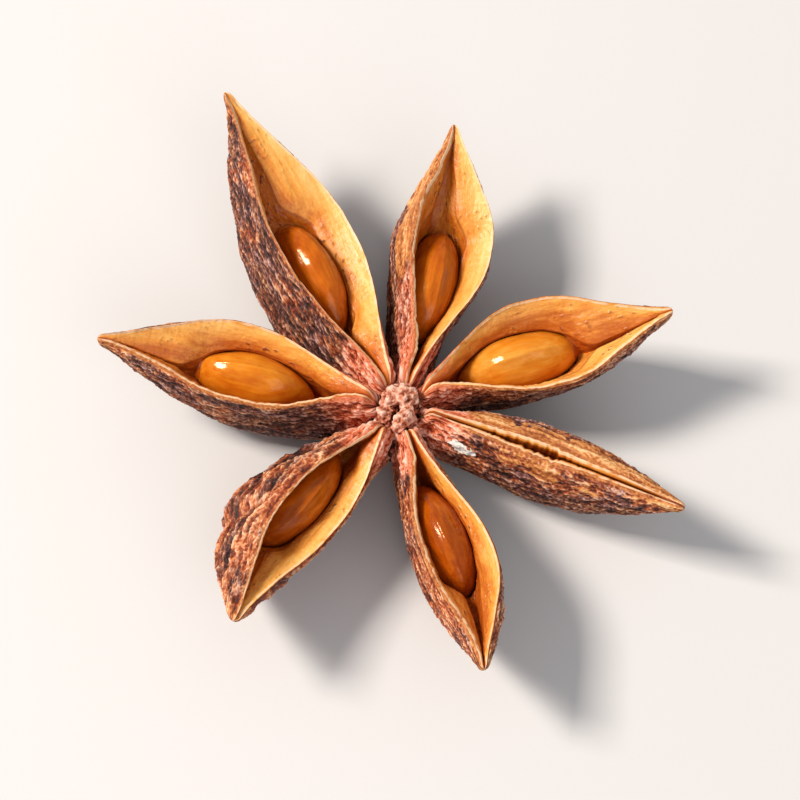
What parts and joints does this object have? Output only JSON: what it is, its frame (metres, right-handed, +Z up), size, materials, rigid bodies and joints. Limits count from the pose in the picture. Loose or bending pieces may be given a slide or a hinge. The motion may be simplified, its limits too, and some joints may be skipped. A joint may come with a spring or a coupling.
{
  "type": "star anise pod",
  "caption": "Dried star anise pod: boat-shaped carpels split open along the top round a central column, with glossy flat seeds in their pockets.",
  "frame": {"origin": "centre of the broken end of the short stalk under the column, in the plane that the pod rests on", "axes": "+Z up along the column, with the split edges of the carpels facing up; +X to the right and +Y away from the viewer"},
  "size_m": [0.0368, 0.0385, 0.0094],
  "materials": {
    "husk": "dry wrinkled purple-brown bark outside, smooth golden-orange walls inside",
    "seed": "smooth glossy amber-brown seed coat"
  },
  "bodies": {
    "root": {"husk": "husk", "seed_1": "seed", "seed_2": "seed", "seed_4": "seed", "seed_5": "seed", "seed_6": "seed", "seed_7": "seed"}
  },
  "joints": []
}
